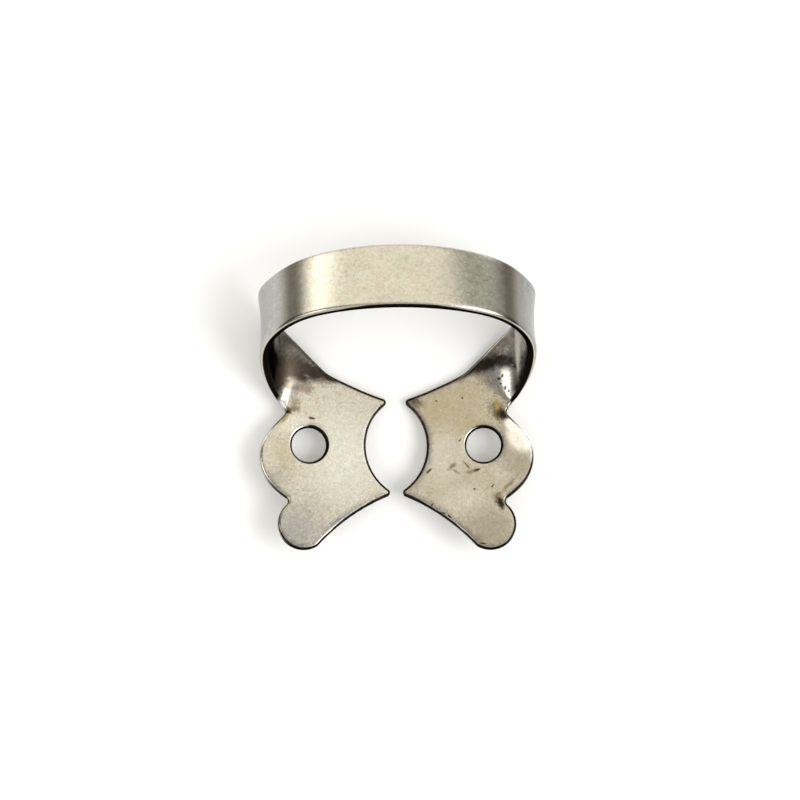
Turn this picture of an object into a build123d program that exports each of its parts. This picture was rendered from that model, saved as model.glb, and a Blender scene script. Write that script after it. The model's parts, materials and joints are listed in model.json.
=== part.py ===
from build123d import *
from math import cos, radians, sin
import os

# A rubber dam clamp: two flat jaws joined by a springy bow, all one piece of sheet steel.
# Millimetres and degrees. +X is to the right, -Y towards the front of the jaws, +Z up from the table.
# It lies as it rests, tipped back on the heels of its jaws and on its two rear prongs.

# The sheet and its softened edges
sheet_thickness = 0.76
edge_break_share = 0.26
prong_radius_share = 0.43
notch_radius = 0.40
lobe_end_radius = 1.0

# The forceps holes
hole_radius = 1.44
hole_rim_break = 0.18
hole_from_middle = 7.30
hole_from_heels = 3.90

# The jaws, measured along the sheet from the middle of the clamp
jaw_reach = 11.45
jaw_length = 12.87
jaw_slope = 4.4
neck_heading = 39.0
neck_trim = 1.1
tip_back = 9.65

# The bow, measured to the middle of the sheet
bow_half_width = 11.07
bow_height = 12.38
bow_depth = 11.12
bow_steps = 22

# Outline of one jaw, as shares of jaw_reach and jaw_length
rear_prong_share = (0.038, -0.012)
rear_edge_shares = ((0.198, 0.038), (0.383, 0.110))
neck_rear_share = (0.507, 0.169)
neck_front_share = (0.8235, -0.0615)
notch_share = (0.801, -0.0925)
wing_shares = (
    (0.857, -0.145),
    (0.9135, -0.198),
    (0.9915, -0.3185),
    (1.0, -0.385),
    (0.974, -0.4925),
    (0.8735, -0.606),
)
front_notch_share = (0.772, -0.674)
lobe_side_share = (0.868, -0.797)
lobe_end_share = (0.5765, -0.9595)
front_edge_share = (0.3144, -0.755)
front_prong_share = (0.012, -0.614)
tooth_side_share = (0.2218, -0.3055)

# The foot of the bow, as shares of the way from the neck to where the bow is widest
foot_front_shares = ((0.36, 0.25, 0.13), (0.675, 0.50, 0.365))
foot_rear_shares = ((0.49, 0.42, 0.20), (0.775, 0.665, 0.41))

# The bow from where it is widest up to its crown, as shares of its half width, depth and height
arch_front_shares = (
    (1.0, 0.223, 0.3415),
    (0.953, 0.339, 0.62),
    (0.777, 0.429, 0.835),
    (0.4515, 0.4855, 0.963),
    (0.0, 0.509, 1.0),
)
arch_rear_shares = (
    (1.0025, 0.725, 0.2465),
    (0.953, 0.812, 0.4705),
    (0.777, 0.899, 0.653),
    (0.4515, 0.971, 0.789),
    (0.0, 1.0, 0.837),
)

edge_break = edge_break_share * sheet_thickness
prong_radius = prong_radius_share * sheet_thickness


def jaw_point(share):
    return Vector(share[0] * jaw_reach, share[1] * jaw_length)


def neck_front_direction():
    return (jaw_point(neck_front_share) - jaw_point(notch_share)).normalized()


def neck_rear_direction():
    return Vector(cos(radians(neck_heading)), sin(radians(neck_heading)))


def jaw_outline():
    """One jaw seen square on, with a short tab past the neck that is trimmed off later."""
    rear_prong = jaw_point(rear_prong_share)
    front_prong = jaw_point(front_prong_share)
    notch = jaw_point(notch_share)
    front_notch = jaw_point(front_notch_share)
    lobe_end = jaw_point(lobe_end_share)
    neck_rear = jaw_point(neck_rear_share)
    trim_rear = neck_rear + neck_rear_direction() * neck_trim
    trim_front = jaw_point(neck_front_share) + neck_front_direction() * neck_trim
    rear_points = [jaw_point(share) for share in rear_edge_shares]
    wing_points = [jaw_point(share) for share in wing_shares]
    with BuildSketch() as outline:
        with BuildLine():
            Spline(rear_prong, *rear_points, neck_rear, trim_rear)
            Line(trim_rear, trim_front)
            Line(trim_front, notch)
            Spline(notch, *wing_points, front_notch)
            ThreePointArc(front_notch, jaw_point(lobe_side_share), lobe_end)
            ThreePointArc(lobe_end, jaw_point(front_edge_share), front_prong)
            ThreePointArc(front_prong, jaw_point(tooth_side_share), rear_prong)
        make_face()
        fillet(corners_at(outline, rear_prong, front_prong), radius=prong_radius)
        fillet(corners_at(outline, notch, front_notch), radius=notch_radius)
        fillet(corners_at(outline, lobe_end), radius=lobe_end_radius)
    return outline.sketch


def corners_at(outline, *points):
    return [min(outline.vertices(), key=lambda corner: (Vector(corner) - point).length) for point in points]


def jaw_plane():
    """The middle of a jaw's sheet, which slopes down towards the tooth."""
    return Plane.XY.rotated((0, -jaw_slope, 0))


def neck_ends():
    """The front and rear ends of the line across the neck, where the bow leaves the jaw."""
    return [jaw_plane().from_local_coords(jaw_point(share)) for share in (neck_front_share, neck_rear_share)]


def neck_plane():
    front, rear = neck_ends()
    across = rear - front
    return Plane(origin=(front + rear) / 2, x_dir=across, z_dir=across.cross(jaw_plane().z_dir))


def forceps_hole():
    """What drilling and countersinking take away."""
    half = sheet_thickness / 2
    wall = half - hole_rim_break
    mouth = hole_radius + hole_rim_break
    lower_profile = [(0, -half), (mouth, -half), (hole_radius, -wall)]
    upper_profile = [(hole_radius, wall), (mouth, half), (0, half)]
    profile = Plane.XZ * make_face(Polyline(*lower_profile, *upper_profile, close=True))
    return revolve(profile, Axis.Z)


def jaw():
    """One jaw: sheet cut to outline, its edges broken, drilled and cut across its neck."""
    sheet = extrude(Pos(0, 0, -sheet_thickness / 2) * jaw_outline(), sheet_thickness)
    faces = sheet.faces().sort_by(Axis.Z)
    sheet = chamfer(faces[0].edges() + faces[-1].edges(), length=edge_break)
    sheet -= Pos(hole_from_middle, -hole_from_heels) * forceps_hole()
    return split(jaw_plane() * sheet, bisect_by=neck_plane(), keep=Keep.BOTTOM)


def neck_face(right_jaw):
    """The flat face left where the neck was cut across."""
    flats = right_jaw.faces().filter_by(GeomType.PLANE)
    return min(flats, key=lambda face: (face.center() - neck_plane().origin).length)


def bow_points(neck, foot_shares, arch_shares):
    """Points along one edge of the bow, from the right neck up to the crown."""
    arch = [Vector(x * bow_half_width, y * bow_depth, z * bow_height) for x, y, z in arch_shares]
    rise = arch[0] - neck
    foot = [neck + Vector(x * rise.X, y * rise.Y, z * rise.Z) for x, y, z in foot_shares]
    return [neck] + foot + arch


def bow_curve(points, neck_direction, lengths):
    """A smooth curve that leaves the neck along the jaw's sheet and runs level over the crown."""
    level = jaw_plane()
    leaving = level.from_local_coords(neck_direction) - level.from_local_coords(Vector())
    return Edge.make_spline(points, tangents=[leaving, Vector(-1, 0, 0)], parameters=lengths, scale=False)


def bow_section(front_curve, rear_curve, share):
    """The strip cut square across at one share of the way from the neck to the crown."""
    front = front_curve.position_at(share, position_mode=PositionMode.PARAMETER)
    rear = rear_curve.position_at(share, position_mode=PositionMode.PARAMETER)
    along = front_curve.tangent_at(share, position_mode=PositionMode.PARAMETER)
    along += rear_curve.tangent_at(share, position_mode=PositionMode.PARAMETER)
    across = rear - front
    place = Plane(origin=(front + rear) / 2, x_dir=across, z_dir=across.cross(along).cross(across))
    strip = Rectangle(across.length, sheet_thickness)
    return (place * chamfer(strip.vertices(), length=edge_break)).face()


def bow_sections():
    """Sections of the bow from just past the right neck to the crown."""
    neck_front, neck_rear = neck_ends()
    front = bow_points(neck_front, foot_front_shares, arch_front_shares)
    rear = bow_points(neck_rear, foot_rear_shares, arch_rear_shares)
    middle = [(a + b) / 2 for a, b in zip(front, rear)]
    lengths = [0.0]
    for here, there in zip(middle, middle[1:]):
        lengths.append(lengths[-1] + (there - here).length)
    front_curve = bow_curve(front, neck_front_direction(), lengths)
    rear_curve = bow_curve(rear, neck_rear_direction(), lengths)
    return [bow_section(front_curve, rear_curve, step / bow_steps) for step in range(1, bow_steps + 1)]


def clamp():
    """Both jaws and the bow as one piece of sheet, tipped back as it rests on the table."""
    right_jaw = jaw()
    right_half = right_jaw + loft([neck_face(right_jaw)] + bow_sections())
    whole = Rot(-tip_back, 0, 0) * (right_half + mirror(right_half, about=Plane.YZ))
    box = whole.bounding_box()
    return Pos(-box.center().X, -box.center().Y, -box.min.Z) * whole


os.makedirs("parts", exist_ok=True)
export_step(clamp(), "parts/clamp.step")
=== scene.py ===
import json
import math
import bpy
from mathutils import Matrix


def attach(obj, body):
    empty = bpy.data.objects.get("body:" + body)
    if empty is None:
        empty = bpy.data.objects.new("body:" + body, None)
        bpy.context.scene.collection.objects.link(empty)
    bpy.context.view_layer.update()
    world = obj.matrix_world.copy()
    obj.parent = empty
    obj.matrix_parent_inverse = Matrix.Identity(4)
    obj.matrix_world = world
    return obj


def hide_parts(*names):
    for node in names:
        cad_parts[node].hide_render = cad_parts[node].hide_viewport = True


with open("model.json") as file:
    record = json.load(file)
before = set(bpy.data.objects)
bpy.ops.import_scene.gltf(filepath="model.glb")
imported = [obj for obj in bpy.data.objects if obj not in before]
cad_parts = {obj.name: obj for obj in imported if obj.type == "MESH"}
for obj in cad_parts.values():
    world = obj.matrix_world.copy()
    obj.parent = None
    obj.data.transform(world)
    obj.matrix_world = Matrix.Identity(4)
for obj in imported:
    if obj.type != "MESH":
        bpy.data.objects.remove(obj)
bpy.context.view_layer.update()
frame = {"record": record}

from types import SimpleNamespace

import bpy
import numpy as np
from mathutils import Vector
from mathutils.geometry import delaunay_2d_cdt

# A rubber dam clamp on a white table, seen from nearly straight above.
# Its shape is worked out in millimetres, and its mesh is in metres like the frame.

millimetre = 0.001


# The sheet of steel and the flat jaws

sheet = {
    "thickness": 0.76,
    "edgeRadius": 0.28,
    "holeRimRadius": 0.26,
    "edgeSteps": 5,
    "stripSteps": 16,
}

jaw = {
    "reach": 11.45,
    "length": 12.87,
    "slope": 4.4,
    "tipBack": 9.65,
    "holeRadius": 1.44,
    "holeFromMiddle": 7.30,
    "holeFromHeels": 3.90,
    "holeSteps": 72,
    "holeRimDark": 0.57,
    "holeRimReach": 6.0,
    "holeRimKept": 0.9,
    "prongRadius": 0.327,
    "notchRadius": 0.40,
    "lobeEndRadius": 1.0,
    "neckHeading": 39.0,
    "neckTrim": 1.1,
    "neckEase": 0.9,
    "neckEdgePoints": 26,
    "outlineSpacing": 0.14,
    "outlineTurn": 12.0,
    "gridSpacing": 0.42,
    "gridClearance": 0.6,
    "rearProng": (0.038, -0.012),
    "rearEdge": ((0.198, 0.038), (0.383, 0.110)),
    "neckRear": (0.507, 0.169),
    "neckFront": (0.8235, -0.0615),
    "notch": (0.801, -0.0925),
    "wing": (
        (0.857, -0.145),
        (0.9135, -0.198),
        (0.9915, -0.3185),
        (1.0, -0.385),
        (0.974, -0.4925),
        (0.8735, -0.606),
    ),
    "frontNotch": (0.772, -0.674),
    "lobeSide": (0.868, -0.797),
    "lobeEnd": (0.5765, -0.9595),
    "frontEdge": (0.3144, -0.755),
    "frontProng": (0.012, -0.614),
    "toothSide": (0.2218, -0.3055),
}


def jawPoint(share):
    return np.array([share[0] * jaw["reach"], share[1] * jaw["length"]])


def unit(vectors):
    return vectors / np.linalg.norm(vectors, axis=-1, keepdims=True)


def headingOf(step):
    return math.atan2(step[1], step[0])


def roundCircle(angles):
    return np.stack([np.cos(angles), np.sin(angles)], axis=1)


def ramp(values, start, end):
    # 0 up to start, 1 from end on
    return np.clip((values - start) / (end - start), 0, 1)


def turned(points, first, second, degrees):
    # points turned from the first of two axes towards the second
    angle = math.radians(degrees)
    result = np.array(points, float)
    a, b = result[..., first].copy(), result[..., second].copy()
    result[..., first] = a * math.cos(angle) - b * math.sin(angle)
    result[..., second] = a * math.sin(angle) + b * math.cos(angle)
    return result


def onJawPlane(points):
    # from along the sloping sheet of the right jaw to level coordinates
    return turned(points, 0, 2, jaw["slope"])


def asItRests(points):
    # tipped back on the heels of the jaws
    return turned(points, 1, 2, -jaw["tipBack"])


def smoothSlopes(knots, points, startSlope=None, endSlope=None):
    # slopes at the knots that make an evenly bending cubic curve through all the points
    count = len(knots)
    gaps = np.diff(knots)
    rises = np.diff(points, axis=0) / gaps[:, None]
    system = np.zeros((count, count))
    wanted = np.zeros(points.shape)
    for i in range(1, count - 1):
        system[i, i - 1 : i + 2] = gaps[i], 2 * (gaps[i - 1] + gaps[i]), gaps[i - 1]
        wanted[i] = 3 * (gaps[i] * rises[i - 1] + gaps[i - 1] * rises[i])
    for row, neighbour, slope in ((0, 1, startSlope), (count - 1, count - 2, endSlope)):
        if slope is None:
            system[row, row], system[row, neighbour] = 2, 1
            wanted[row] = 3 * rises[min(row, neighbour)]
        else:
            system[row, row] = 1
            wanted[row] = slope
    return np.linalg.solve(system, wanted)


def curveAt(knots, points, slopes, places):
    # where the curve is at each place along it, and how fast it moves there
    span = np.clip(np.searchsorted(knots, places, side="right") - 1, 0, len(knots) - 2)
    gap = (knots[span + 1] - knots[span])[:, None]
    t = (places - knots[span])[:, None] / gap
    startPoint, endPoint = points[span], points[span + 1]
    startSlope, endSlope = slopes[span], slopes[span + 1]
    position = startPoint * (1 + 2 * t) * (1 - t) ** 2 + endPoint * t * t * (3 - 2 * t)
    position += gap * t * (1 - t) * (startSlope * (1 - t) - endSlope * t)
    motion = 6 * t * (1 - t) * (endPoint - startPoint) / gap
    motion += startSlope * (1 - t) * (1 - 3 * t) + endSlope * t * (3 * t - 2)
    return position, motion


def chordKnots(points):
    return np.concatenate(([0.0], np.cumsum(np.linalg.norm(np.diff(points, axis=0), axis=1))))


fineStep = 0.02  # how closely outlines are followed before they are respaced
cornerPoints = 72  # on each rounded corner, before it is respaced


def splineThrough(points, knotCount=None):
    # an even curve through the points, up to one of them where knotCount is given
    points = np.array(points)
    knots = chordKnots(points)
    end = knots[-1] if knotCount is None else knots[knotCount - 1]
    places = np.linspace(0, end, int(end / fineStep) + 2)
    return curveAt(knots, points, smoothSlopes(knots, points), places)[0]


def arcThrough(start, middle, end):
    chords = np.array([middle - start, end - start])
    centre = start + np.linalg.solve(2 * chords, (chords ** 2).sum(axis=1))
    radius = np.linalg.norm(start - centre)
    angles = np.unwrap([headingOf(point - centre) for point in (start, middle, end)])
    length = abs(angles[2] - angles[0]) * radius
    turns = np.linspace(angles[0], angles[2], int(length / fineStep) + 2)
    return centre + radius * roundCircle(turns)


def roundCorner(before, after, radius):
    # joins two paths by an arc that touches both
    into, out = before[-1] - before[-2], after[1] - after[0]
    side = np.sign(into[0] * out[1] - into[1] * out[0])
    steps = unit(np.gradient(before, axis=0))
    centres = before + side * radius * np.stack([-steps[:, 1], steps[:, 0]], axis=1)
    last = len(before) - 1
    gap, nextGap = 0.0, 0.0
    while gap < radius:
        last -= 1
        gap, nextGap = np.linalg.norm(after - centres[last], axis=1).min(), gap
    share = (gap - radius) / (gap - nextGap)
    centre = centres[last] + share * (centres[last + 1] - centres[last])
    start = before[last] + share * (before[last + 1] - before[last])
    first = np.linalg.norm(after - centre, axis=1).argmin()
    startAngle = headingOf(start - centre)
    turn = (headingOf(after[first] - centre) - startAngle) * side % (2 * math.pi)
    angles = startAngle + side * np.linspace(0, turn, cornerPoints)
    arc = centre + radius * roundCircle(angles)
    return np.concatenate([before[: last - 1], arc, after[first + 2 :]])


def respaced(path, spacing, turnStep):
    # points at even steps, closer together where the path turns, and which way it heads there
    steps = np.diff(path, axis=0)
    headings = np.unwrap(np.arctan2(steps[:, 1], steps[:, 0]))
    turns = np.concatenate(([0.0], np.abs(np.diff(headings))))
    effort = np.linalg.norm(steps, axis=1) / spacing + turns / math.radians(turnStep)
    effort = np.concatenate(([0.0], np.cumsum(effort)))
    places = np.linspace(0, effort[-1], int(math.ceil(effort[-1])) + 1)
    heading = np.interp(places, (effort[1:] + effort[:-1]) / 2, headings)
    points = np.stack([np.interp(places, effort, path[:, axis]) for axis in (0, 1)], axis=1)
    return points, heading


def neckDirections():
    # which way the bow's front and rear edges leave the jaw
    heading = math.radians(jaw["neckHeading"])
    rear = np.array([math.cos(heading), math.sin(heading)])
    front = unit(jawPoint(jaw["neckFront"]) - jawPoint(jaw["notch"]))
    return front, rear


def jawOutline():
    # from the rear end of the neck round the prongs, lobe and wing to its front end
    point = {name: jawPoint(jaw[name]) for name in (
        "rearProng", "neckRear", "neckFront", "notch", "frontNotch",
        "lobeSide", "lobeEnd", "frontEdge", "frontProng", "toothSide")}
    trimRear = point["neckRear"] + neckDirections()[1] * jaw["neckTrim"]
    rearPoints = [point["rearProng"], *map(jawPoint, jaw["rearEdge"]), point["neckRear"], trimRear]
    wingPoints = [point["notch"], *map(jawPoint, jaw["wing"]), point["frontNotch"]]
    alongNeck = np.linspace(0, 1, jaw["neckEdgePoints"])[:, None]
    toothSide = arcThrough(point["rearProng"], point["toothSide"], point["frontProng"])
    frontEdge = arcThrough(point["frontProng"], point["frontEdge"], point["lobeEnd"])
    lobe = arcThrough(point["lobeEnd"], point["lobeSide"], point["frontNotch"])
    wing = splineThrough(wingPoints)[::-1]
    neckEdge = point["notch"] + alongNeck * (point["neckFront"] - point["notch"])
    path = splineThrough(rearPoints, len(rearPoints) - 1)[::-1]
    for nextPath, radius in (
        (toothSide, jaw["prongRadius"]),
        (frontEdge, jaw["prongRadius"]),
        (lobe, jaw["lobeEndRadius"]),
        (wing, jaw["notchRadius"]),
        (neckEdge, jaw["notchRadius"]),
    ):
        path = roundCorner(path, nextPath, radius)
    return respaced(path, jaw["outlineSpacing"], jaw["outlineTurn"])


def rimProfile(radius):
    # (outward, upward) steps round the sheet's edge, from its upper face to its lower one
    half = sheet["thickness"] / 2
    angles = np.linspace(0, math.pi / 2, sheet["edgeSteps"] + 1)
    upper = np.stack([radius * (np.sin(angles) - 1), half - radius * (1 - np.cos(angles))], axis=1)
    return np.concatenate([upper, upper[::-1] * (1, -1)])


def edgeShares(upperReach=1.0):
    # 0 on the faces of the sheet and 1 on its cut edge, for each row of the rim
    rise = np.linspace(0, 1, sheet["edgeSteps"] + 1)
    return np.concatenate([np.minimum(rise * upperReach, 1.0), rise[::-1]])


def stripShares():
    return np.linspace(0, 1, sheet["stripSteps"] + 1)[:, None]


def facesBetween(count, rows, start=0, joinEnds=False, joinSides=False, flipped=False):
    # four-sided faces between neighbouring rows of points
    faces = []
    for i in range(count if joinEnds else count - 1):
        here, there = start + i * rows, start + (i + 1) % count * rows
        for j in range(rows if joinSides else rows - 1):
            k = (j + 1) % rows
            if flipped:
                faces.append((here + j, there + j, there + k, here + k))
            else:
                faces.append((here + j, here + k, there + k, there + j))
    return faces


def insidePath(points, path):
    # which points lie inside a closed path
    inside = np.zeros(len(points), bool)
    for start, end in zip(path, np.roll(path, -1, axis=0)):
        spans = (start[1] > points[:, 1]) != (end[1] > points[:, 1])
        rise = end[1] - start[1] if end[1] != start[1] else 1.0
        crossing = start[0] + (points[:, 1] - start[1]) / rise * (end[0] - start[0])
        inside ^= spans & (points[:, 0] < crossing)
    return inside


def jawRim(neckAcross):
    # rows of points over the cut edge of a jaw, which ease into the bow's edges at the neck
    outline, heading = jawOutline()
    outward = np.stack([np.sin(heading), -np.cos(heading)], axis=1)
    along = chordKnots(outline)
    for distance, direction in ((along, neckAcross), (along[-1] - along, -neckAcross)):
        ease = np.clip(distance / jaw["neckEase"], 0, 1)[:, None]
        outward = unit(direction + (outward - direction) * ease * ease * (3 - 2 * ease))
    profile = rimProfile(sheet["edgeRadius"])
    rim = np.zeros((len(outline), len(profile), 3))
    rim[:, :, :2] = outline[:, None] + outward[:, None] * profile[None, :, :1]
    rim[:, :, 2] = profile[:, 1]
    return rim


def holeRim(hole):
    # the same over the rim of the forceps hole
    circle = roundCircle(np.linspace(0, 2 * math.pi, jaw["holeSteps"], endpoint=False))
    profile = rimProfile(sheet["holeRimRadius"])
    rim = np.zeros((len(circle), len(profile), 3))
    rim[:, :, :2] = hole + circle[:, None] * (jaw["holeRadius"] - profile[None, :, :1])
    rim[:, :, 2] = profile[:, 1]
    return rim


def flatTriangles(loop, hole, mouth):
    # points inside a flat face of the jaw, and triangles over all of it but the hole
    spacing = jaw["gridSpacing"]
    clearance = spacing * jaw["gridClearance"]
    low, high = loop.min(axis=0), loop.max(axis=0)
    gridRows = np.arange(low[1], high[1], spacing * math.sqrt(0.75))
    grid = np.array([(x + (row % 2) * spacing / 2, y) for row, y in enumerate(gridRows)
                     for x in np.arange(low[0], high[0], spacing)])
    clear = insidePath(grid, loop)
    clear &= np.linalg.norm(grid - hole, axis=1) > np.linalg.norm(mouth[0] - hole) + clearance
    clear &= np.linalg.norm(grid[:, None] - loop[None], axis=2).min(axis=1) > clearance
    inner = grid[clear]
    flat = np.concatenate([loop, mouth, inner])
    loopIds = list(range(len(loop)))
    mouthIds = list(range(len(loop), len(loop) + len(mouth)))
    holeEdges = list(zip(mouthIds, mouthIds[1:] + mouthIds[:1]))
    insideOnly, nearEnough = 1, 1e-7
    corners = [Vector(point) for point in flat]
    filled = delaunay_2d_cdt(corners, holeEdges, [loopIds], insideOnly, nearEnough)
    origin = [ids[0] for ids in filled[3]]
    triangles = [tuple(origin[i] for i in face) for face in filled[2]]
    # those over the hole go, apart from slivers along its mouth, whose middles lie past this
    reach = jaw["holeRadius"] + sheet["holeRimRadius"] * jaw["holeRimKept"]
    triangles = [t for t in triangles if np.linalg.norm(flat[list(t)].mean(axis=0) - hole) > reach]
    return inner, triangles


def jawMesh():
    neckFront, neckRear = jawPoint(jaw["neckFront"]), jawPoint(jaw["neckRear"])
    neckAcross = unit(neckRear - neckFront)
    hole = np.array([jaw["holeFromMiddle"], -jaw["holeFromHeels"]])
    rim, rimOfHole = jawRim(neckAcross), holeRim(hole)
    count, rows = rim.shape[:2]
    inset = rim[:, 0, :2]
    neckLine = inset[-1] + stripShares()[1:-1] * (inset[0] - inset[-1])
    loop = np.concatenate([inset, neckLine])
    inner, triangles = flatTriangles(loop, hole, rimOfHole[:, 0, :2])

    vertices = [*rim.reshape(-1, 3), *rimOfHole.reshape(-1, 3)]
    holeStart, holeEnd = count * rows, len(vertices)
    faces = facesBetween(count, rows)
    faces += facesBetween(len(rimOfHole), rows, holeStart, joinEnds=True, flipped=True)
    half = sheet["thickness"] / 2
    for level, row in ((half, 0), (-half, rows - 1)):
        neckStart = len(vertices)
        innerStart = neckStart + len(neckLine)
        vertices += [(x, y, level) for x, y in (*neckLine, *inner)]
        ids = [*range(row, holeStart, rows), *range(neckStart, innerStart),
               *range(holeStart + row, holeEnd, rows), *range(innerStart, len(vertices))]
        for triangle in triangles:
            faces.append(tuple(ids[i] for i in (triangle if level > 0 else triangle[::-1])))

    vertices = np.array(vertices)
    onEdge, onHole = np.zeros(len(vertices)), np.zeros(len(vertices))
    onEdge[:holeStart] = np.tile(edgeShares(), count)
    rimShares = np.minimum(edgeShares(jaw["holeRimReach"]), jaw["holeRimDark"])
    onEdge[holeStart:holeEnd] = np.tile(rimShares, len(rimOfHole))
    onHole[holeStart:holeEnd] = 1.0
    fromNeck = vertices[:, :2] - neckFront
    # what the finish reads at each point: how far onto the cut edge it is, how far along and
    # across the bow, and whether it is on the inner side and on a hole's rim
    traits = {
        "cutEdge": onEdge,
        "alongBow": fromNeck @ np.array([neckAcross[1], -neckAcross[0]]),
        "acrossBow": fromNeck @ neckAcross / np.linalg.norm(neckRear - neckFront),
        "innerSide": (vertices[:, 2] > 0).astype(float),
        "holeRim": onHole,
    }
    return vertices, faces, traits


# The bow

bow = {
    "halfWidth": 11.07,
    "height": 12.38,
    "depth": 11.12,
    "steps": 110,
    "hollow": 0.16,
    "hollowEnd": 0.62,
    "crownHollow": 0.04,
    "footFront": ((0.36, 0.25, 0.13), (0.675, 0.50, 0.365)),
    "footRear": ((0.49, 0.42, 0.20), (0.775, 0.665, 0.41)),
    "archFront": (
        (1.0, 0.223, 0.3415),
        (0.953, 0.339, 0.62),
        (0.777, 0.429, 0.835),
        (0.4515, 0.4855, 0.963),
        (0.0, 0.509, 1.0),
    ),
    "archRear": (
        (1.0025, 0.725, 0.2465),
        (0.953, 0.812, 0.4705),
        (0.777, 0.899, 0.653),
        (0.4515, 0.971, 0.789),
        (0.0, 1.0, 0.837),
    ),
}

# how far the dark of the bow's cut edges climbs over their roundings, partly the sheared edge's own
# dark and
# partly a painted dark reflection: crown and foot are shares of the way up the bow, and the rest
# are shares of a rounding
edgeDark = {
    "crown": (0.74, 0.88),
    "foot": (0.45, 0.35),
    "innerReach": 3.0,
    "outerPower": 2.2,
    "lessPowerAtCrown": 1.0,
    "frontClimb": (0.88, 1.18),
    "moreClimbAtCrown": 0.41,
    "rearClimb": (0.5, 0.8),
}


def bowEdgePoints(neckShare, foot, arch):
    neck = onJawPlane([*jawPoint(neckShare), 0.0])
    archPoints = np.array(arch) * (bow["halfWidth"], bow["depth"], bow["height"])
    footPoints = neck + np.array(foot) * (archPoints[0] - neck)
    return np.concatenate([[neck], footPoints, archPoints])


def bowRings(shares):
    # rings of points round the strip from the right neck to the crown, and how far along each is
    edges = [bowEdgePoints(jaw["neckFront"], bow["footFront"], bow["archFront"]),
             bowEdgePoints(jaw["neckRear"], bow["footRear"], bow["archRear"])]
    knots = chordKnots((edges[0] + edges[1]) / 2)
    along = shares * knots[-1]
    levelAtCrown = np.array([-1.0, 0.0, 0.0])
    positions, motions = [], []
    for points, direction in zip(edges, neckDirections()):
        slopes = smoothSlopes(knots, points, onJawPlane([*direction, 0.0]), levelAtCrown)
        position, motion = curveAt(knots, points, slopes, along)
        positions.append(position)
        motions.append(unit(motion))
    front, rear = positions
    across = unit(rear - front)
    normal = unit(np.cross(motions[0] + motions[1], across))
    profile = rimProfile(sheet["edgeRadius"])
    flatShares = stripShares()
    rings = []
    for i, share in enumerate(shares):
        frontRim = front[i] - across[i] * profile[:, :1] + normal[i] * profile[:, 1:]
        rearRim = rear[i] + across[i] * profile[:, :1] + normal[i] * profile[:, 1:]
        # a bent strip hollows across its width
        hollow = bow["hollow"] * math.sin(math.pi * min(share / bow["hollowEnd"], 1.0)) ** 2
        hollow += bow["crownHollow"] * share ** 2
        dip = normal[i] * (hollow * (1 - (2 * flatShares - 1) ** 2))
        upper = frontRim[0] + flatShares * (rearRim[0] - frontRim[0]) + dip
        lower = rearRim[-1] + flatShares * (frontRim[-1] - rearRim[-1]) + dip
        rings.append(np.concatenate([upper, rearRim[1:], lower[1:], frontRim[-2:0:-1]]))
    return np.array(rings), along


def bowMesh():
    # each ring runs over the inner face, the rear rim, the outer face and the front rim
    shares = np.linspace(0, 1, bow["steps"] + 1)
    rings, along = bowRings(shares)
    count, around = rings.shape[:2]
    flats, steps = sheet["stripSteps"], sheet["edgeSteps"]
    rearRim, frontRim = edgeShares(), edgeShares(edgeDark["innerReach"])[-2:0:-1]
    flatShares = stripShares()[:, 0]
    ringEdge = np.concatenate([np.zeros(flats), rearRim, np.zeros(flats), frontRim])
    ringAcross = np.concatenate([
        flatShares, np.ones(len(rearRim) - 1), flatShares[-2::-1], np.zeros(len(frontRim))])
    ringInner = np.concatenate([
        np.ones(flats + 1 + steps), np.zeros(steps + 1 + flats + steps), np.ones(steps)])
    onEdge, onInner = np.tile(ringEdge, (count, 1)), np.tile(ringInner, (count, 1))
    frontOuter = slice(-2 * steps, -steps)
    rearOuter = slice(flats + 1 + steps, flats + 1 + 2 * steps)
    # the dark of the front edge, partly its own and partly a painted dark reflection, climbs over
    # its outer rounding, furthest at the crown
    crown = ramp(shares, *edgeDark["crown"])[:, None]
    rise = np.linspace(0, 1, steps + 1)[1:]
    onEdge[:, frontOuter] = rise ** (edgeDark["outerPower"] - edgeDark["lessPowerAtCrown"] * crown)
    climb = rise + edgeDark["moreClimbAtCrown"] * crown
    onInner[:, frontOuter] = ramp(climb, *edgeDark["frontClimb"])
    # and over that of the rear edge at the foot
    foot = ramp(shares, *edgeDark["foot"])[:, None]
    onInner[:, rearOuter] = foot * ramp(rise[::-1], *edgeDark["rearClimb"])
    traits = {
        "cutEdge": onEdge.ravel(),
        "alongBow": np.repeat(along, around),
        "acrossBow": np.tile(ringAcross, count),
        "innerSide": onInner.ravel(),
        "holeRim": np.zeros(count * around),
    }
    return rings.reshape(-1, 3), facesBetween(count, around, joinSides=True, flipped=True), traits


weldDistance = 0.0008  # closer points of the jaws and the two halves of the bow become one


def placed(name, data):
    # a new object in the scene
    holder = bpy.data.objects.new(name, data)
    bpy.context.collection.objects.link(holder)
    return holder


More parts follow.
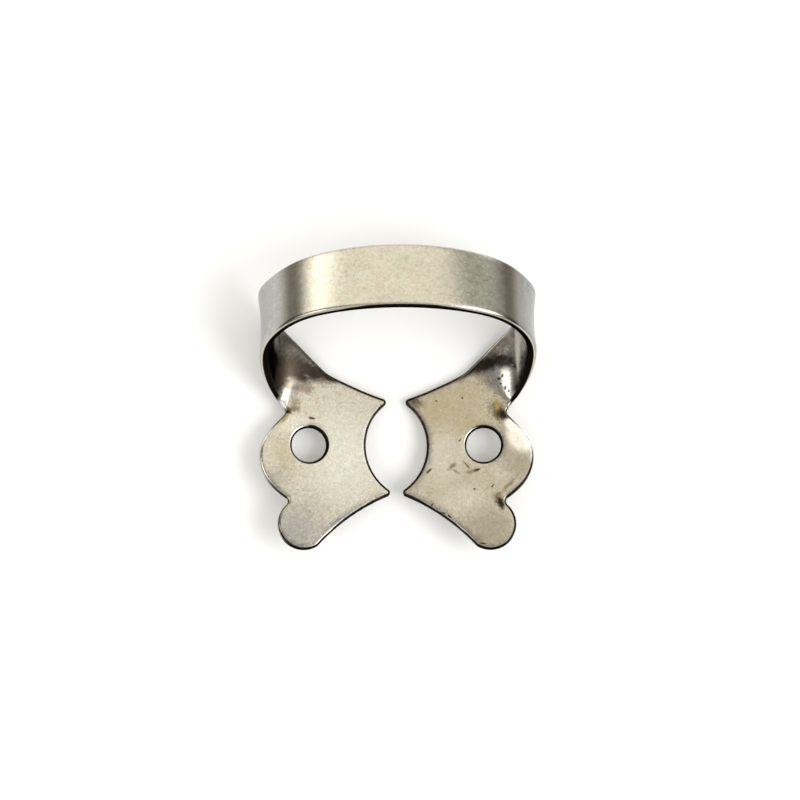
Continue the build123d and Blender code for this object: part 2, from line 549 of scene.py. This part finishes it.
def makeClamp():
    # the right half and its mirror image, with the hole where the record has it
    jawVertices, jawFaces, jawTraits = jawMesh()
    bowVertices, bowFaces, bowTraits = bowMesh()
    half = np.concatenate([onJawPlane(jawVertices), bowVertices])
    faces = jawFaces + [tuple(i + len(jawVertices) for i in face) for face in bowFaces]
    vertices = np.concatenate([half, half * (-1, 1, 1)])
    faces = faces + [tuple(i + len(half) for i in face[::-1]) for face in faces]
    hole = asItRests(onJawPlane([jaw["holeFromMiddle"], -jaw["holeFromHeels"], 0.0]))
    mount = next(m for m in frame["record"]["mounts"] if m["name"] == "right_forceps_hole")
    vertices = asItRests(vertices) - hole + np.array(mount["pos_m"]) / millimetre
    mesh = bpy.data.meshes.new("clampSheet")
    mesh.from_pydata((vertices * millimetre).tolist(), [], faces)
    mesh.polygons.foreach_set("use_smooth", [True] * len(mesh.polygons))
    for name in jawTraits:
        trait = mesh.attributes.new(name, "FLOAT", "POINT")
        values = np.concatenate([jawTraits[name], bowTraits[name]])
        trait.data.foreach_set("value", np.tile(values, 2))
    piece = placed("clampSheet", mesh)
    weld = piece.modifiers.new("weld", "WELD")
    weld.merge_threshold = weldDistance * millimetre
    shading = piece.modifiers.new("evenShading", "WEIGHTED_NORMAL")
    shading.weight = 80
    shading.keep_sharp = False
    print("clamp:", len(vertices), "points,", len(faces), "faces")
    return piece


# Finishes

class Wire:
    # a shader socket that can be used in sums
    def __init__(self, finish, socket):
        self.finish = finish
        self.socket = socket

    def maths(self, operation, first, second=0.0):
        return self.finish.node("ShaderNodeMath", {"operation": operation}, {0: first, 1: second})

    def __add__(self, other):
        return self.maths("ADD", self, other)

    def __radd__(self, other):
        return self.maths("ADD", other, self)

    def __sub__(self, other):
        return self.maths("SUBTRACT", self, other)

    def __rsub__(self, other):
        return self.maths("SUBTRACT", other, self)

    def __mul__(self, other):
        return self.maths("MULTIPLY", self, other)

    def __rmul__(self, other):
        return self.maths("MULTIPLY", other, self)

    def __abs__(self):
        return self.maths("ABSOLUTE", self)

    def orMore(self, other):
        return self.maths("MAXIMUM", self, other)


class Finish:
    # the nodes of one material or of the world
    def __init__(self, owner):
        owner.use_nodes = True
        self.tree = owner.node_tree
        self.tree.nodes.clear()

    def node(self, kind, settings=None, inputs=None, output=0):
        made = self.tree.nodes.new(kind)
        for name, value in (settings or {}).items():
            if name == "stops":
                stops = made.color_ramp.elements
                while len(stops) < len(value):
                    stops.new(0.5)
                for element, (place, grey) in zip(stops, value):
                    element.position = place
                    element.color = (grey, grey, grey, 1.0)
            else:
                setattr(made, name, value)
        for name, value in (inputs or {}).items():
            socket = made.inputs[name]
            if isinstance(value, Wire):
                self.tree.links.new(value.socket, socket)
            elif socket.type == "RGBA":
                socket.default_value = (*value, 1.0)
            else:
                socket.default_value = value
        return Wire(self, made.outputs[output]) if made.outputs else made

    def between(self, value, start, end):
        # 0 up to start, 1 from end on, eased in and out
        return self.node("ShaderNodeMapRange", {"interpolation_type": "SMOOTHSTEP"}, {
            "Value": value, "From Min": start, "From Max": end})

    def mixed(self, factor, first, second, blend="MIX"):
        return self.node("ShaderNodeMix", {"data_type": "RGBA", "blend_type": blend}, {
            "Factor": factor, 6: first, 7: second}, output=2)

    def split(self, vector, axes):
        return [self.node("ShaderNodeSeparateXYZ", {}, {0: vector}, output=axis) for axis in axes]


steel = {
    "colour": (0.60, 0.56, 0.475),
    "coolColour": (0.55, 0.535, 0.48),
    "pinkColour": (0.60, 0.505, 0.45),
    "greenColour": (0.51, 0.55, 0.455),
    "veinColour": (0.31, 0.25, 0.185),
    "edgeColour": (0.012, 0.009, 0.007),
    "toothEdgeColour": (0.060, 0.040, 0.029),
    "outerEdgeColour": (0.56, 0.52, 0.45),
    # painted reflections on the bow's inner side, on the outer side of its walls and in its fold
    "paintedFootLeft": (0.105, 0.090, 0.076),
    "paintedFootRight": (0.50, 0.46, 0.415),
    "paintedUnderside": (0.44, 0.41, 0.37),
    "paintedWallLeft": (0.43, 0.43, 0.41),
    "paintedWallRight": (0.305, 0.305, 0.29),
    "paintedFoldBlack": (0.008, 0.007, 0.005),
    "tinge": 0.55,
    "veinWidth": (0.06, 0.0),
    "veinStrength": 0.55,
    "veinMoreAtFold": 0.45,
    "paintedInsideStrength": 0.9,
    "roughness": 0.24,
    "rougher": {"mottle": 0.14, "grain": 0.12, "darkEdge": 0.12, "fold": 0.25},
    "bumpStrength": 0.3,
    "bumpHeight": 0.00001,
    "fineBump": 0.5,
    "sheen": 1.0,
    "darkEdgeAndFoldSheen": 0.2,
}

# the scale, detail and roughness of each noise
patterns = {
    "clouds": (0.35, 3.0, 0.5),
    "mottle": (1.7, 4.0, 0.65),
    "grain": (4.0, 3.0, 0.6),
    "fineGrain": (16.0, 2.0, 0.6),
    "tingeClouds": (2.2, 2.0, 0.6),
    "worms": (2.8, 1.0, 0.5),
}

# how much each of them lightens and darkens the steel
grainShade = {"clouds": 0.20, "mottle": 0.62, "grain": 0.66, "fineGrain": 0.45}

# soft masks: what each is read from, where it is 0 and where it is 1. alongBow is in millimetres
# from the neck, and below 0 on the jaw. acrossBow runs from 0 at the front edge to 1 at the rear
# one. placeX and placeY are millimetres to the right and to the back of the clamp's middle, and
# faceX, faceY and faceZ say how far the steel faces right, back and up.
zones = {
    "coolPatch": ("mottle", 0.38, 0.64),
    "pinkPatch": ("tingeClouds", 0.53, 0.68),
    "greenPatch": ("tingeClouds", 0.47, 0.32),
    "veinPlace": ("mottle", 0.38, 0.58),
    "brownPlace": ("grain", 0.40, 0.62),
    "right": ("placeX", -1.0, 1.0),
    "foldNear": ("alongBow", -1.6, 0.4),
    "underFold": ("alongBow", 3.0, 1.0),
    "rearHalf": ("acrossBow", 0.35, 0.65),
    "dullRearStart": ("alongBow", 0.5, 1.6),
    "dullStart": ("alongBow", 1.8, 3.4),
    "paleInside": ("alongBow", 6.0, 9.0),
    "foldStart": ("alongBow", 1.9, 3.2),
    "foldEnd": ("alongBow", 10.5, 7.5),
    "wallStart": ("alongBow", 2.0, 4.0),
    "wallEnd": ("alongBow", 12.6, 11.4),
    "marksEnd": ("alongBow", 4.2, 3.4),
    "onJaw": ("alongBow", 1.0, 0.0),
    "wellOnJaw": ("alongBow", 0.0, -1.0),
    "nearTooth": ("fromMiddle", 6.0, 4.5),
    "frontProng": ("placeY", -7.8, -9.0),
    "wingTip": ("placeX", 8.6, 9.6),
    "wingFront": ("placeY", -4.6, -6.0),
    "lobeEnd": ("placeY", -10.4, -11.6),
    "notToFront": ("faceY", -0.75, -0.35),
    "flatOfEdge": ("cutEdge", 0.58, 0.86),
    "innerRounding": ("innerSide", 0.02, 0.40),
    "rimLeft": ("faceX", 0.05, 0.14),
    "rimTop": ("faceZ", 0.88, 0.96),
}

# the painted black reflection where the bow is folded up from the jaw, along the front of its inner
# side
foldBlack = {"across": (0.70, 0.40), "uneven": 0.2, "narrowerOnRight": 0.42}

# the painted dark reflection stripe across the shoulders of the bow, in millimetres along it
shoulderStripe = {
    "colour": (0.085, 0.070, 0.052),
    "at": 13.2,
    "below": 2.1,
    "above": 2.6,
    "moreBelowOnRight": -0.4,
    "moreAboveOnRight": 0.1,
    "fullAbove": 0.2,
    "uneven": 0.4,
    "strength": 0.9,
    "strongerOnRight": 0.06,
}

# the dark of the cut edges, partly the sheared edge's own dark and partly a painted dark
# reflection, as a share of the way over their roundings, and where it is left pale, partly by wear
# and partly as a painted highlight
cutEdges = {
    "dark": (0.24, 0.52),
    "uneven": 0.25,
    "wider": 2.4,
    "wingShare": 0.6,
    "lobeShare": 0.3,
    "lessAtProng": 0.4,
    "lessAtRightProng": 0.4,
    # spots where the dark edge is left pale, partly wear and partly a painted highlight
    "wearAndHighlightSpots": [(-11.4, -4.3, 1.2, 2.6, 0), (-9.4, -0.35, 0.45, 0.8, -24),
                  (11.0, -3.0, 0.9, 1.4, 30)],
    "wearAndHighlightSoftness": 1.0,
    "wearAndHighlightRagged": 0.4,
    "wearAndHighlightPaleness": 0.7,
    "openSide": (0.80, 1.25),
    "openPaleness": 0.8,
}

# marks on the upper side, real stains and wear together with painted light and shade, in
# millimetres: middle, half length and half width, turn in degrees
marks = {
    # painted light: paler patches on the jaws
    "paintedLightPatches": {
        "colour": (0.65, 0.64, 0.58), "softness": 1.3, "ragged": 0.3,
        "spots": [(-4.5, -4.8, 2.6, 3.4, 0), (9.0, -5.9, 1.0, 0.8, 0), (3.8, -5.0, 1.5, 2.2, 0),
                  (5.4, -8.6, 1.8, 1.3, 0), (-8.4, -2.2, 1.2, 0.8, 0)]},
    # painted dark reflection bands where the jaws fold up into the bow
    "paintedFoldBands": {
        "colour": (0.050, 0.039, 0.029), "softness": 1.1, "ragged": 0.45,
        "spots": [(-8.6, 2.75, 1.3, 0.95, -16), (-9.25, 1.85, 1.25, 1.2, 0),
                  (-8.2, 1.85, 1.2, 0.65, -22), (-7.0, 2.2, 1.8, 0.75, -19),
                  (-5.6, 1.72, 0.9, 0.36, -24), (8.9, 3.1, 1.4, 0.62, -3),
                  (7.3, 2.75, 1.6, 0.60, 18), (6.0, 2.15, 1.0, 0.34, 32)]},
    # painted shade beside the left fold, and faint brown stains on the right jaw
    "foldShadeAndStains": {
        "colour": (0.31, 0.27, 0.22), "softness": 1.6, "ragged": 1.0,
        "spots": [(-8.1, 0.95, 0.8, 0.45, -30), (-7.4, 0.7, 0.5, 0.35, 0),
                  (-8.4, -0.5, 0.35, 0.5, 0), (4.6, -5.7, 0.38, 0.14, 40),
                  (4.95, -6.1, 0.30, 0.10, -30), (6.3, -6.05, 0.5, 0.14, 15),
                  (9.3, -7.2, 0.8, 0.14, 48), (0.95, -8.3, 0.6, 0.25, -30)]},
    "shade": {
        "colour": (0.375, 0.36, 0.345), "softness": 1.7, "ragged": 0.8,
        "spots": [(-8.6, -10.9, 2.6, 2.1, 20), (-5.1, -10.35, 2.2, 0.32, 33)]},
    "tan": {
        "colour": (0.52, 0.465, 0.35), "softness": 1.6, "ragged": 0.6,
        "spots": [(3.9, -0.9, 3.3, 1.4, 25), (-9.3, -4.6, 0.7, 1.2, 0), (6.2, -2.0, 1.5, 1.2, 0)]},
    # painted grey shade on the wings and the right lobe
    "paintedGreyShade": {
        "colour": (0.43, 0.41, 0.355), "softness": 1.6, "ragged": 0.8,
        "spots": [(7.9, -11.2, 2.3, 1.9, -20), (8.9, -4.0, 0.45, 1.5, 0),
                  (10.3, -5.5, 1.7, 1.0, 0), (-10.1, -6.7, 1.2, 0.8, 30)]},
    "rust": {
        "colour": (0.15, 0.12, 0.08), "softness": 1.5, "ragged": 1.0,
        "spots": [(8.7, -1.2, 1.0, 0.7, -40), (1.45, -0.2, 0.75, 0.35, -30),
                  (8.6, -8.55, 0.36, 0.6, 25), (-9.0, -1.0, 0.7, 0.26, 10),
                  (5.85, -5.6, 0.40, 0.06, -50)]},
    "heatTint": {
        "colour": (0.40, 0.32, 0.12), "softness": 1.1, "ragged": 0.8,
        "spots": [(8.42, -0.62, 0.20, 0.55, 5), (-9.35, -1.6, 0.55, 0.24, 35)]},
    "darkened": {
        "colour": (0.022, 0.018, 0.013), "softness": 1.2, "ragged": 0.9,
        "spots": [(8.95, -1.42, 0.62, 0.34, -40), (8.66, -8.75, 0.24, 0.46, 30),
                  (-9.2, -1.1, 0.5, 0.14, -12)]},
    "pits": {
        "colour": (0.085, 0.07, 0.05), "softness": 0.9, "ragged": 0.8,
        "spots": [(-7.09, -1.66, 0.28, 0.11, -10), (2.70, -6.06, 0.28, 0.08, 45),
                  (6.68, -5.98, 0.26, 0.11, 20), (7.95, -7.3, 0.16, 0.07, 50),
                  (6.43, -7.55, 0.11, 0.07, 0), (5.3, -3.5, 0.20, 0.05, 50),
                  (3.37, -0.24, 0.08, 0.07, 0), (5.53, 0.0, 0.08, 0.07, 0),
                  (2.93, -8.9, 0.15, 0.08, 60), (3.83, -9.55, 0.20, 0.08, -30),
                  (4.33, -9.8, 0.16, 0.08, -50), (3.35, -9.2, 0.08, 0.06, 0),
                  (5.95, -11.55, 0.14, 0.07, -30), (7.15, -12.05, 0.20, 0.07, 0),
                  (8.6, 1.6, 0.14, 0.10, 0), (8.85, 1.85, 0.17, 0.08, 60),
                  (9.1, 0.85, 0.10, 0.17, 0), (8.7, 1.2, 0.09, 0.07, 0),
                  (9.35, 0.6, 0.08, 0.12, 0)]},
    # painted highlights on the right wing and beside the left notch
    "paintedHighlight": {
        "colour": (1.0, 1.0, 1.0), "softness": 0.7, "ragged": 0.5,
        "spots": [(10.35, -3.2, 1.25, 1.05, -50), (9.8, -2.4, 0.9, 0.5, -35),
                  (-9.35, -0.3, 0.34, 0.8, -24)]},
}

# how far each noise pushes the outlines of the marks in and out
ragged = {"grain": 1.4, "mottle": 0.8}


def spotMask(finish, place, spots, softness, raggedness):
    # 1 inside any of the soft oval spots and 0 away from them
    mask = None
    for x, y, halfLength, halfWidth, turn in spots:
        straight = finish.node("ShaderNodeVectorRotate", {"rotation_type": "Z_AXIS"}, {
            "Vector": place, "Center": (x, y, 0), "Angle": -math.radians(turn)})
        local = finish.node("ShaderNodeVectorMath", {"operation": "MULTIPLY_ADD"}, {
            0: straight,
            1: (1 / halfLength, 1 / halfWidth, 0),
            2: (-x / halfLength, -y / halfWidth, 0)})
        distance = finish.node("ShaderNodeVectorMath", {"operation": "LENGTH"}, {
            0: local}, output="Value")
        inside = finish.between(distance + raggedness, 1.0 + softness / 2, 1.0 - softness / 2)
        mask = inside if mask is None else mask.orMore(inside)
    return mask


def uneven(pattern, amount):
    # a noise as a change both ways about nothing
    return (pattern - 0.5) * amount


def surfaceOf(finish):
    # all that the steel's finish is worked out from, each under its own name
    at = SimpleNamespace()
    position = finish.node("ShaderNodeTexCoord", output="Object")
    at.place = finish.node("ShaderNodeVectorMath", {"operation": "SCALE"}, {
        0: position, "Scale": 1 / millimetre})
    for name, (scale, detail, roughness) in patterns.items():
        noise = finish.node("ShaderNodeTexNoise", {}, {
            "Vector": at.place, "Scale": scale, "Detail": detail, "Roughness": roughness})
        setattr(at, name, noise)
    for name in ("cutEdge", "alongBow", "acrossBow", "innerSide", "holeRim"):
        trait = finish.node("ShaderNodeAttribute", {"attribute_name": name}, output="Fac")
        setattr(at, name, trait)
    at.placeX, at.placeY = finish.split(at.place, "XY")
    at.fromMiddle = abs(at.placeX)
    normal = finish.node("ShaderNodeTexCoord", output="Normal")
    at.faceX, at.faceY, at.faceZ = finish.split(normal, "XYZ")
    for name, (source, start, end) in zones.items():
        setattr(at, name, finish.between(getattr(at, source), start, end))
    at.markedSide = at.innerSide * at.marksEnd
    at.ragged = uneven(at.grain, ragged["grain"]) + uneven(at.mottle, ragged["mottle"])
    return at


def tumbledColour(finish, at):
    # warm and cool patches and faint brown veins left by tumbling
    colour = finish.mixed(at.coolPatch, steel["colour"], steel["coolColour"])
    colour = finish.mixed(at.pinkPatch * steel["tinge"], colour, steel["pinkColour"])
    colour = finish.mixed(at.greenPatch * steel["tinge"], colour, steel["greenColour"])
    veins = finish.between(abs(at.worms - 0.5), *steel["veinWidth"]) * at.veinPlace
    strength = steel["veinStrength"] + at.foldNear * at.underFold * steel["veinMoreAtFold"]
    return finish.mixed(veins * at.innerSide * at.underFold * strength, colour, steel["veinColour"])


def insideColour(finish, at, colour):
    # painted dark reflection on the bow's inner side, darkest on the left foot, and a painted
    # near-black reflection where it is folded up from the jaw
    foot = finish.mixed(at.right, steel["paintedFootLeft"], steel["paintedFootRight"])
    inside = finish.mixed(at.paleInside, foot, steel["paintedUnderside"])
    paintedDark = at.innerSide * (at.rearHalf * at.dullRearStart).orMore(at.dullStart)
    colour = finish.mixed(paintedDark * steel["paintedInsideStrength"], colour, inside)
    across = at.acrossBow + uneven(at.mottle, foldBlack["uneven"])
    across = across + at.right * foldBlack["narrowerOnRight"]
    fold = at.innerSide * at.foldStart * at.foldEnd * finish.between(across, *foldBlack["across"])
    return finish.mixed(fold, colour, steel["paintedFoldBlack"]), fold


def outsideColour(finish, at, colour):
    # painted reflections: the outer side of the walls is cooler and darker, most on the right, and
    # a dark stripe crosses the shoulders
    outside = 1 - at.innerSide
    wall = finish.mixed(at.right, steel["paintedWallLeft"], steel["paintedWallRight"])
    colour = finish.mixed(outside * at.wallEnd * at.wallStart, colour, wall)
    offset = at.alongBow + uneven(at.mottle, shoulderStripe["uneven"]) - shoulderStripe["at"]
    lowest = at.right * shoulderStripe["moreBelowOnRight"] - shoulderStripe["below"]
    highest = at.right * shoulderStripe["moreAboveOnRight"] + shoulderStripe["above"]
    shoulder = finish.between(offset, lowest, 0.0)
    shoulder = shoulder * finish.between(offset, highest, shoulderStripe["fullAbove"])
    strength = shoulderStripe["strength"] + at.right * shoulderStripe["strongerOnRight"]
    return finish.mixed(shoulder * outside * strength, colour, shoulderStripe["colour"])


def markedColour(finish, at, colour):
    # the marks of use with the painted light and shade spots, and a fine tumbled grain over
    # everything but the cut edge
    for mark in marks.values():
        raggedness = at.ragged * mark["ragged"]
        mask = spotMask(finish, at.place, mark["spots"], mark["softness"], raggedness)
        colour = finish.mixed(mask * at.markedSide, colour, mark["colour"])
    shade = 1.0
    for name, amount in grainShade.items():
        shade = shade + uneven(getattr(at, name), amount)
    grey = finish.node("ShaderNodeCombineColor", {}, {0: shade, 1: shade, 2: shade})
    return finish.mixed(1.0, colour, grey, "MULTIPLY")


def edgeColour(finish, at, colour):
    # the dark of the cut edge, partly the sheared edge's own dark and partly a painted dark
    # reflection, climbs further over its rounding beside the tooth, on the front of the right wing
    # and round the lobes
    toothSide = at.nearTooth * at.wellOnJaw
    less = cutEdges["lessAtProng"] + at.right * cutEdges["lessAtRightProng"]
    toothSide = toothSide * (1.0 - at.frontProng * less)
    wing = at.wingTip * at.wingFront * cutEdges["wingShare"]
    darkSides = toothSide.orMore(wing.orMore(at.lobeEnd * cutEdges["lobeShare"]))
    reach = at.cutEdge * (1.0 + darkSides * cutEdges["wider"])
    edge = finish.between(reach + uneven(at.mottle, cutEdges["uneven"]), *cutEdges["dark"])
    # the flat of a jaw's cut edge is painted dark only where it faces the front, a painted dark
    # reflection
    plainFlat = at.onJaw * at.notToFront * at.flatOfEdge
    # here and there it is left pale, partly by wear and partly as a painted highlight, and the
    # holes' rims get a painted glint on their left
    wearAndHighlight = spotMask(finish, at.place, cutEdges["wearAndHighlightSpots"], cutEdges["wearAndHighlightSoftness"],
                    at.ragged * cutEdges["wearAndHighlightRagged"]) * at.markedSide
    wearAndHighlight = wearAndHighlight.orMore(at.holeRim * at.rimLeft * at.rimTop)
    # a painted pale band on the hole rims where they face right and back
    openSide = at.holeRim * finish.between(at.faceX + at.faceY, *cutEdges["openSide"])
    openSide = openSide * cutEdges["openPaleness"]
    dark = edge * at.innerRounding * (1.0 - plainFlat) * (1.0 - wearAndHighlight) * (1.0 - openSide)
    pale = edge * (1.0 - wearAndHighlight * cutEdges["wearAndHighlightPaleness"])
    colour = finish.mixed(pale, colour, steel["outerEdgeColour"])
    brown = toothSide * at.brownPlace
    darkColour = finish.mixed(brown, steel["edgeColour"], steel["toothEdgeColour"])
    return finish.mixed(dark, colour, darkColour), dark


def steelFinish():
    material = bpy.data.materials.new("steel")
    finish = Finish(material)
    at = surfaceOf(finish)
    colour = tumbledColour(finish, at)
    colour, fold = insideColour(finish, at, colour)
    colour = outsideColour(finish, at, colour)
    colour = markedColour(finish, at, colour)
    colour, darkEdge = edgeColour(finish, at, colour)
    rougher = steel["rougher"]
    roughness = steel["roughness"]
    for name in ("mottle", "grain"):
        roughness = roughness + uneven(getattr(at, name), rougher[name])
    roughness = roughness + darkEdge * rougher["darkEdge"] + fold * rougher["fold"]
    bump = finish.node("ShaderNodeBump", {}, {
        "Strength": steel["bumpStrength"],
        "Distance": steel["bumpHeight"],
        "Height": at.grain + at.fineGrain * steel["fineBump"]})
    # the painted dark of the fold and of the cut edges stays dark where it is seen at a slant, and
    # clean steel does not
    clean, darkened = [finish.node("ShaderNodeBsdfPrincipled", {}, {
        "Base Color": colour,
        "Metallic": 1.0,
        "Specular Tint": (sheen, sheen, sheen),
        "Roughness": roughness,
        "Normal": bump,
    }) for sheen in (steel["sheen"], steel["darkEdgeAndFoldSheen"])]
    black = darkEdge.orMore(fold)
    shader = finish.node("ShaderNodeMixShader", {}, {0: black, 1: clean, 2: darkened})
    finish.node("ShaderNodeOutputMaterial", {}, {"Surface": shader})
    print("steel:", len(finish.tree.nodes), "nodes")
    return material


# The table, the light and the camera

studio = {
    "tableSize": 4.0,
    "tableColour": (0.86, 0.86, 0.86),
    "tableLift": 0.08,
    "lamps": [
        {"at": (0.25, -0.07, 0.27), "size": 0.26, "power": 0.70},
        {"at": (-0.26, -0.05, 0.24), "size": 0.22, "power": 0.33},
    ],
    "cameraDistance": 0.60,
    "cameraLean": 3.1,
    "viewWidth": 0.06667,
    "lookAt": (0.00039, -0.000164, 0.0),
    "filmWidth": 36.0,
    "nearestSeen": 0.01,
}

# how bright the room is from the horizon up, and the patches in it that the steel reflects,
# with their places and sizes in degrees
room = {
    "brightness": [(0.0, 0.05), (0.06, 0.08), (0.2, 0.18), (0.5, 0.24), (1.0, 0.24)],
    "patches": [
        {"around": -90, "up": 40, "core": 25, "spread": 65, "colour": (0.80, 0.80, 0.78)},
        {"around": 25, "up": 40, "core": 16, "spread": 34, "colour": (1.90, 1.90, 1.87)},
        {"around": 91, "up": 34, "core": 18, "spread": 37, "colour": (1.28, 1.23, 1.06)},
        {"around": 132, "up": 13, "core": 8, "spread": 21, "colour": (2.32, 2.30, 2.06)},
        {"around": 44, "up": 7, "core": 10, "spread": 22, "colour": (0.49, 0.51, 0.43)},
        {"around": 100, "up": 71, "core": 5, "spread": 9.5, "colour": (1.26, 1.14, 0.90)},
        {"around": 66, "up": 69, "core": 5, "spread": 9, "colour": (1.52, 1.46, 1.26)},
    ],
}


def tableFinish():
    # white paint that looks a little brighter to the camera and in reflections than it lights
    material = bpy.data.materials.new("tableWhite")
    finish = Finish(material)
    rays = ("Is Camera Ray", "Is Glossy Ray", "Is Transmission Ray")
    seen = sum(finish.node("ShaderNodeLightPath", output=ray) for ray in rays)
    paint = finish.node("ShaderNodeBsdfDiffuse", {}, {"Color": studio["tableColour"]})
    glow = finish.node("ShaderNodeEmission", {}, {
        "Color": (1.0, 1.0, 1.0), "Strength": seen * studio["tableLift"]})
    surface = finish.node("ShaderNodeAddShader", {}, {0: paint, 1: glow})
    finish.node("ShaderNodeOutputMaterial", {}, {"Surface": surface})
    return material


def makeTable():
    size = studio["tableSize"] / 2
    mesh = bpy.data.meshes.new("table")
    corners = [(-size, -size, 0), (size, -size, 0), (size, size, 0), (-size, size, 0)]
    mesh.from_pydata(corners, [], [(0, 1, 2, 3)])
    table = placed("table", mesh)
    table.data.materials.append(tableFinish())


def makeLights():
    for number, lamp in enumerate(studio["lamps"], 1):
        data = bpy.data.lights.new(f"lamp{number}", "AREA")
        data.shape = "DISK"
        data.size = lamp["size"]
        data.energy = lamp["power"]
        holder = placed(f"lamp{number}", data)
        holder.location = lamp["at"]
        holder.rotation_euler = (-Vector(lamp["at"])).to_track_quat("-Z", "Y").to_euler()


def makeRoom():
    # a dim room, darkest near the horizon, with bright patches that the steel reflects
    world = bpy.data.worlds.new("room")
    bpy.context.scene.world = world
    finish = Finish(world)
    direction = finish.node("ShaderNodeTexCoord", output="Generated")
    height = finish.split(direction, "Z")[0]
    light = finish.node("ShaderNodeValToRGB", {"stops": room["brightness"]}, {"Fac": height})
    for patch in room["patches"]:
        around, up, core, spread = [
            math.radians(patch[name]) for name in ("around", "up", "core", "spread")]
        aim = (math.cos(around) * math.cos(up), math.sin(around) * math.cos(up), math.sin(up))
        nearness = finish.node("ShaderNodeVectorMath", {"operation": "DOT_PRODUCT"}, {
            0: direction, 1: aim}, output="Value")
        inside = finish.between(nearness, math.cos(spread), math.cos(core))
        light = finish.mixed(inside, light, patch["colour"])
    background = finish.node("ShaderNodeBackground", {}, {"Color": light, "Strength": 1.0})
    finish.node("ShaderNodeOutputWorld", {}, {"Surface": background})


def makeCamera():
    data = bpy.data.cameras.new("camera")
    camera = placed("camera", data)
    lean = math.radians(studio["cameraLean"])
    away = Vector((-math.sin(lean), 0.0, math.cos(lean)))
    camera.location = Vector(studio["lookAt"]) + studio["cameraDistance"] * away
    camera.rotation_euler = (0.0, -lean, 0.0)
    data.sensor_width = studio["filmWidth"]
    data.lens = data.sensor_width * studio["cameraDistance"] / studio["viewWidth"]
    data.clip_start = studio["nearestSeen"]
    bpy.context.scene.camera = camera


bpy.context.scene.view_settings.view_transform = "Standard"

clamp = makeClamp()
clamp.data.materials.append(steelFinish())
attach(clamp, "root")
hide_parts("clamp")
makeTable()
makeRoom()
makeLights()
makeCamera()
print("scene made")
